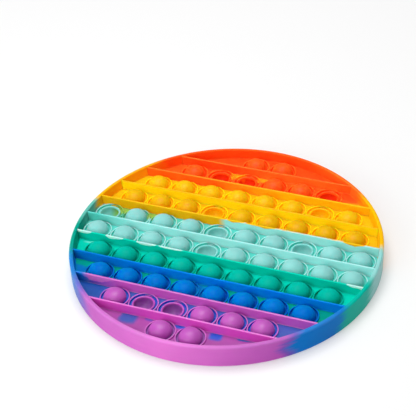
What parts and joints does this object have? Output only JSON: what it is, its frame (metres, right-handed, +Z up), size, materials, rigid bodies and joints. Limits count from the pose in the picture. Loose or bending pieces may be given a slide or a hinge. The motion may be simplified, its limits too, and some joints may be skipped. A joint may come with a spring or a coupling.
{
  "type": "bubble pop fidget toy",
  "caption": "Round silicone push-bubble board with rows of domed bubbles between straight ribs in a raised rim.",
  "frame": {"origin": "middle of the board, on the surface it lies on", "axes": "+Z up out of the face with the standing bubbles, +X along the rows, +Y towards the far row"},
  "size_m": [0.2, 0.2, 0.015],
  "materials": {
    "silicone": "satin silicone in soft-edged bands of orange, yellow, mint, green, blue and purple"
  },
  "bodies": {
    "root": {"bubble_board": "silicone"}
  },
  "joints": []
}
